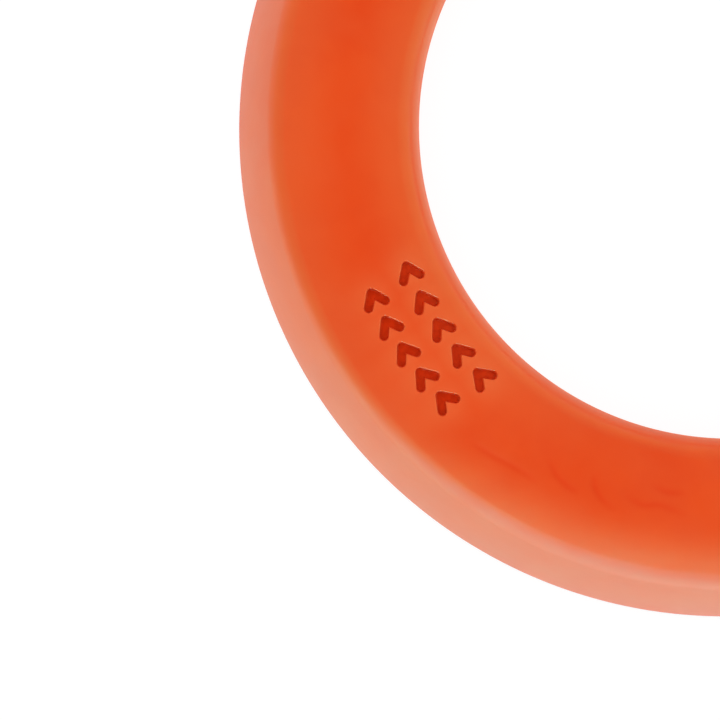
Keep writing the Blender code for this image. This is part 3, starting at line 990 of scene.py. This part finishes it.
def foam():
    """Closed-cell foam, charcoal: fine burst cells at the cut surface, uneven in tone."""
    g = Material("foam_charcoal")
    wall = g.texture("ShaderNodeTexVoronoi", Scale=2600.0)
    wall.feature = "DISTANCE_TO_EDGE"
    big = g.texture("ShaderNodeTexVoronoi", Scale=800.0)
    pit = g.step(wall.outputs["Distance"], span=(0.02, 0.22))
    mottle = g.step(g.noise(scale=120.0, detail=3.0), span=(0.3, 0.7))
    tone = g.mix(mottle, (0.060, 0.062, 0.068), (0.105, 0.107, 0.115))
    # Painted shade: the cells' hollows are darker, and the larger pits darker still.
    colour = g.mix(g.times(pit, 0.55), tone, (0.022, 0.022, 0.025))
    big_pit = g.step(big.outputs["Distance"], span=(0.0, 0.25), out=(1.0, 0.0))
    colour = g.mix(g.times(big_pit, 0.5), colour, (0.015, 0.015, 0.017))
    normal = g.bump(g.times(pit, -1.0), distance=0.00012, strength=0.9)
    waver = g.noise(scale=220.0, detail=3.0)
    normal = g.bump(waver, distance=0.00015, strength=0.6, after=normal)
    g.set(
        Base_Color=colour,
        Roughness=g.step(g.noise(scale=500.0), span=(0.3, 0.7), out=(0.82, 0.96)),
        Specular_IOR_Level=0.25,
        Normal=normal,
    )
    return g.mat


def undulate(r, z, angle):
    """The knife's slight waver over the foam's surface, under a tenth of a millimetre."""
    waver = 0.03 * np.sin(angle * 31 + r * 0.9)
    waver = waver + 0.025 * np.sin(angle * 74 - z * 1.7 + 1.0)
    waver = waver + 0.02 * np.sin(angle * 133 + r * 2.3)
    return r + waver * 0.5, z + waver


core = grid_ring("core", foam_section(), even(900), undulate)
dress(core, foam(), 60, "foam_core")


# ---------------------------------------------------------------- the floor
# The floor's glow: to the camera, its middle level to reflections, and to matte surfaces
FLOOR_CAMERA, FLOOR_GLOSSY, FLOOR_DIFFUSE = 0.92, 1.27, 0.10
FLOOR_SLANT_X, FLOOR_SLANT_Y = 0.33, 0.78  # how its glow in reflections changes with direction


def floor_material():
    """Bright seamless white, lit from within like a light table, that takes a soft shadow. Its glow
    holds painted light: a painted reflection of the window, painted orange bounce light inside the
    ring, and brighter patches round the ring for matte surfaces.
    """
    g = Material("floor_white")
    tone = g.step(g.noise(scale=2.0), span=(0.3, 0.7))
    g.set(
        Base_Color=g.mix(tone, (0.12, 0.12, 0.12), (0.10, 0.10, 0.10)),
        Roughness=0.85,
        Specular_IOR_Level=0.1,
    )
    path = g.node("ShaderNodeLightPath")
    is_glossy, is_camera = path.outputs["Is Glossy Ray"], path.outputs["Is Camera Ray"]

    # Painted reflection, as from a satin sheet: to reflections the sheet glows brighter along the
    # way to the window, at -Y, than away from it.
    from_x, from_y, from_z = g.split(g.geometry("Incoming"))
    low = g.largest(g.minus(0.56, from_z), 0.0)
    ahead = g.largest(from_y, 0.0)
    slant = g.times_add(g.times(ahead, low), by=6.0, plus=from_y)
    shine = g.times_add(slant, by=FLOOR_SLANT_Y, plus=FLOOR_GLOSSY)
    shine = g.times_add(from_x, by=FLOOR_SLANT_X, plus=shine)
    # Rays that run towards +X get extra, most of it when they are low.
    beside = g.largest(g.times(from_x, -1.0), 0.0)
    lean = g.largest(g.times_add(from_y, by=2.8, plus=1.16), 0.0)
    shine = g.times_add(g.times(beside, low), by=lean, plus=shine)
    shine = g.largest(shine, g.times_add(low, by=0.7, plus=0.75))
    shine = g.times_add(g.times(beside, beside), by=0.55, plus=shine)

    place_x, place_y, _ = g.split(g.geometry("Position"))
    away = g.plan_radius(place_x, place_y)

    def band(low_r, high_r):
        """1 between the two radii, in metres, and 0 elsewhere."""
        return g.times(g.math("GREATER_THAN", away, low_r), g.math("LESS_THAN", away, high_r))

    # Weight of the painted orange bounce light on the sheet inside the ring
    inside = g.times(g.step(away, span=(0.035, 0.056)), g.math("LESS_THAN", away, 0.07))
    inside = g.times(inside, is_glossy)
    inside = g.times(inside, g.times_add(beside, by=-0.6, plus=1.0))
    glow = g.times(is_glossy, shine)
    glow = g.add(glow, g.times(is_camera, FLOOR_CAMERA))
    seen = g.add(is_glossy, is_camera)
    # Right under the ring it lights the underside, for looks from below.
    under = band(0.0600, 0.0866)
    rim = band(0.0565, 0.0903)
    matte = g.times_add(under, by=0.45, plus=g.times_add(rim, by=0.40, plus=FLOOR_DIFFUSE))
    # Inside the ring the sheet glows a little brighter to matte surfaces: painted light.
    matte = g.times_add(g.math("LESS_THAN", away, 0.0565), by=0.22, plus=matte)
    glow = g.add(glow, g.times(g.minus(1.0, seen), matte))
    # Painted light: the sheet inside the ring glows with a little of the ring's colour, as bounced
    # light, and glows cooler in low rays, as a painted reflection of the window.
    sheet = g.mix(is_glossy, (1.0, 1.0, 1.0), (1.0, 1.0, 0.94))
    bounce_tint = g.mix(inside, sheet, (1.4, 0.98, 0.55))
    cool = g.times(g.times(ahead, ahead), g.times(low, 0.9))
    cool = g.times(cool, is_glossy)
    g.set(Emission_Strength=glow, Emission_Color=g.mix(cool, bounce_tint, (1.0, 1.0, 2.0)))

    # Seen from underneath, the floor is clear.
    clear = g.node("ShaderNodeBsdfTransparent")
    either = g.node("ShaderNodeMixShader")
    g.put(either.inputs[0], g.geometry("Backfacing"))
    g.link(g.shader.outputs[0], either.inputs[1])
    g.link(clear.outputs[0], either.inputs[2])
    g.link(either.outputs[0], g.out.inputs[0])
    g.mat.cycles.emission_sampling = "NONE"
    return g.mat


def make_floor():
    bm = bmesh.new()
    bmesh.ops.create_grid(bm, x_segments=8, y_segments=8, size=6.0)
    mesh = bpy.data.meshes.new("floor")
    bm.to_mesh(mesh)
    bm.free()
    floor = add_object("floor", mesh)
    floor.data.materials.append(floor_material())
    floor.location.z = -0.00015


make_floor()

# ---------------------------------------------------------------- the studio's light
SKY_DIFFUSE = 1.05  # strength of the sky on matte surfaces
# For red, green and blue: the ceiling, the walls, the window, and the change at its foot
SKY_TINTS = ((1.0, 1.0, 0.55, 0.0), (1.0, 1.0, 1.0, -0.03), (0.60, 1.15, 1.70, -0.38))


def studio():
    """A white studio with a dark ceiling and soft windows: a large one low at -Y, a small one
    low at +X. x, y and z are the direction looked in."""
    world = bpy.data.worlds.new("studio")
    world.use_nodes = True
    bpy.context.scene.world = world
    world.cycles.sampling_method = "NONE"
    g = Nodes(world.node_tree)
    out, background = g.node("ShaderNodeOutputWorld"), g.node("ShaderNodeBackground")
    g.link(background.outputs[0], out.inputs[0])
    x, y, z = g.split(g.node("ShaderNodeTexCoord").outputs["Generated"])

    def wide():
        return g.math("ABSOLUTE", x)

    def without(value):
        return g.minus(1.0, value)

    side = g.math("SQRT", g.add(g.times(x, x), g.times(y, y)))  # 0 overhead, 1 at the horizon
    plain = g.add(g.step(wide(), span=(0.05, 0.30), out=(0, 0.38)), 0.12)
    rise = g.ramp(y, span=(0.05, 0.20), out=(0, 0.15))
    fall = g.ramp(y, span=(0.20, 0.38), out=(0, 0.27))
    ceiling = g.add(plain, g.minus(rise, fall))
    front = g.ramp(g.times(y, -1.0), span=(0.0, 0.15), out=(0, 0.08))
    ceiling = g.minus(ceiling, front)

    # A dark flag hangs high at the back, towards +Y.
    flag = g.ramp(g.minus(y, x), span=(-0.13, 0.0), out=(0, 0.40))
    flag = g.times(flag, g.ramp(y, span=(0.03, 0.12)))
    flag = g.times(flag, g.ramp(x, span=(-0.06, 0.0)))
    flag = g.times(flag, g.step(side, span=(0.06, 0.22)))
    flag = g.times(flag, without(g.step(side, span=(0.60, 0.95))))
    ceiling = g.largest(g.minus(ceiling, flag), 0.0)

    # The large window: q grows towards its middle, a little above the horizon.
    q = g.add(g.times(y, -0.98), g.times(z, 0.17))
    # It narrows towards its top.
    arch = g.add(q, g.times(g.times(wide(), z), -0.42))
    outer = g.ramp(g.times_add(z, by=-0.06, plus=arch), span=(0.285, 0.47), out=(0, 2.1))
    sides = without(g.step(wide(), span=(0.30, 0.62), out=(0, 0.50)))
    middle = g.minus(0.06, g.step(wide(), span=(0.08, 0.35), out=(0, 0.06)))
    inner = g.times(g.ramp(g.add(arch, middle), span=(0.49, 0.63), out=(0, 2.2)), sides)
    dip_start = g.step(wide(), span=(0.30, 0.60), out=(0, 0.45))
    dip = g.minus(dip_start, g.step(wide(), span=(0.68, 0.88), out=(0, 0.45)))
    # It ends a little to the +X side of the middle.
    end = without(g.step(x, span=(0.12, 0.42)))
    dip = g.times(dip, g.ramp(arch, span=(0.3, 0.5)))
    window = g.times(g.minus(g.add(outer, inner), dip), end)

    # What reflections see: ceiling and window, walls that brighten to the horizon and to +X
    glossy = g.add(g.add(ceiling, window), g.step(side, span=(0.50, 0.95), out=(0, 0.25)))
    glossy = g.add(glossy, g.step(side, span=(0.85, 1.0), out=(0, 0.55)))
    glossy = g.add(glossy, g.ramp(x, span=(0.25, 0.80), out=(0, 0.24)))
    # A pale oval reflector stands at -X, between the window and the wall.
    far_x = g.squared(g.math("DIVIDE", g.add(x, 0.72), 0.30))
    far_y = g.squared(g.math("DIVIDE", g.add(y, 0.32), 0.17))
    reflector = g.largest(without(g.add(far_x, far_y)), 0.0)
    glossy = g.add(glossy, g.times(reflector, 0.45))
    # The small window, at +X
    beyond = g.ramp(g.minus(g.times(x, 0.2), y), span=(0.08, 0.40), out=(0, 0.75))
    beyond = g.times(beyond, g.step(x, span=(0.10, 0.35)))
    beyond = g.times(beyond, without(g.step(g.times(y, -1.0), span=(0.22, 0.42))))
    glossy = g.add(glossy, beyond)

    # Matte surfaces get a plain dark ceiling and an even light from all round, less from the
    # window's side.
    matte = g.add(plain, g.step(side, span=(0.30, 0.55), out=(0, 0.75)))
    matte = g.add(matte, g.ramp(q, span=(0.30, 1.0), out=(0, -0.45)))
    path = g.node("ShaderNodeLightPath")
    is_glossy, is_camera = path.outputs["Is Glossy Ray"], path.outputs["Is Camera Ray"]
    rest = without(g.add(is_glossy, is_camera))
    others = g.add(is_camera, g.times(g.times(rest, matte), SKY_DIFFUSE))

    # The ceiling is warm, the walls are about neutral, and the window is cool, less at its foot.
    core_share = g.times_add(g.ramp(arch, span=(0.42, 0.72)), by=end, plus=g.times(beyond, 0.3))
    wall = g.times(g.step(side, span=(0.955, 1.0)), without(core_share))
    foot = g.times(core_share, without(g.ramp(z, span=(0.05, 0.35))))
    colour = g.node("ShaderNodeCombineXYZ")
    for channel, (warm, neutral, cool, foot_change) in zip(colour.inputs, SKY_TINTS):
        tone = g.times_add(core_share, by=cool - warm, plus=warm)
        tone = g.times_add(wall, by=neutral - warm, plus=tone)
        tone = g.times_add(foot, by=foot_change, plus=tone)
        g.put(channel, g.add(others, g.times(g.times(glossy, is_glossy), tone)))
    g.link(colour.outputs[0], background.inputs["Color"])
    background.inputs["Strength"].default_value = 1.0


def top_light():
    """A square soft light overhead, not seen itself or in reflections."""
    light = bpy.data.lights.new("top", "AREA")
    light.shape = "RECTANGLE"
    light.size = light.size_y = 0.9
    light.energy = 2.4
    obj = add_object("top", light)
    place, aim = Vector((-0.1, 0.0, 1.4)), Vector((0.0, 0.0, 0.01))
    obj.location = place
    obj.rotation_mode = "QUATERNION"
    obj.rotation_quaternion = (aim - place).to_track_quat("-Z", "Y")
    obj.visible_camera = False
    obj.visible_glossy = False


studio()
top_light()

# ---------------------------------------------------------------- the camera
# Straight down on the part of the ring towards -X and -Y. The place and the half width of the
# view, on the plane of the widest outline, go with the ring's outer radius.
CAMERA_X, CAMERA_Y = -0.7513061 * OUTER_R, -0.4725616 * OUTER_R
VIEW_HALF_WIDTH = 0.7404665 * OUTER_R
HALF_FOV_DEG = 7.1
SENSOR_WIDTH = 36.0


def make_camera():
    camera = add_object("camera", bpy.data.cameras.new("camera"))
    spread_per_length = math.tan(rad(HALF_FOV_DEG))
    camera.data.sensor_width = SENSOR_WIDTH
    camera.data.lens = SENSOR_WIDTH / 2 / spread_per_length
    height = FOOT_Z + VIEW_HALF_WIDTH / spread_per_length
    camera.location = (CAMERA_X * MM, CAMERA_Y * MM, height * MM)
    camera.data.clip_start, camera.data.clip_end = 0.01, 50
    bpy.context.scene.camera = camera


bpy.context.scene.view_settings.view_transform = "Standard"
bpy.context.scene.view_settings.look = "None"
make_camera()
